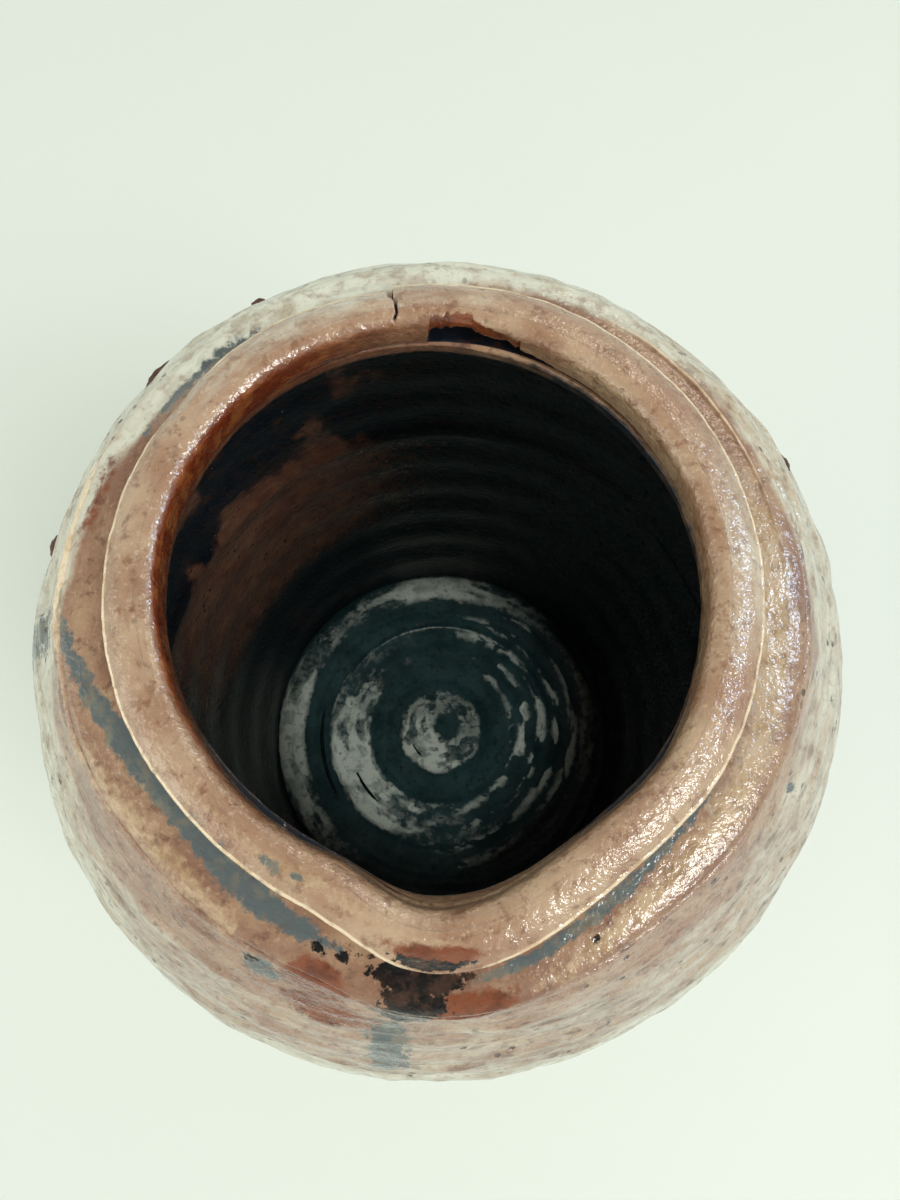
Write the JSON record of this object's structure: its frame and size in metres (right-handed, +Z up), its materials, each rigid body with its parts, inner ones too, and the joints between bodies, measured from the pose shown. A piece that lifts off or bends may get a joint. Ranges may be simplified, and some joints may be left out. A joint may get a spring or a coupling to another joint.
{
  "type": "sake bottle",
  "caption": "Wide-mouthed round stoneware sake bottle with a rolled rim, a pinched pouring lip, a smooth neck shelf and a flat foot.",
  "frame": {"origin": "centre of the flat foot", "axes": "+Z up along the turning axis, -Y towards the pouring lip, +X to the right when the lip faces the viewer"},
  "size_m": [0.119, 0.119, 0.148],
  "materials": {
    "ash_glazed_floor": "dark thrown floor with patches of grey-green ash glaze",
    "iron_brown_wall": "pitted iron-brown stoneware, glossy from natural ash, with slate-grey runs",
    "brown_slip_neck": "smooth brown slip with orange-peel gloss",
    "glossy_brown_rim": "glossy red-brown rim with orange-peel bumps",
    "kiln_grit": "rough burnt grit fused to the wall"
  },
  "bodies": {
    "root": {"base_slab": "ash_glazed_floor", "body_wall": "iron_brown_wall", "neck_collar": "brown_slip_neck", "rolled_rim": "glossy_brown_rim", "kiln_grit_1": "kiln_grit", "kiln_grit_2": "kiln_grit", "kiln_grit_3": "kiln_grit", "kiln_grit_4": "kiln_grit"}
  },
  "joints": []
}
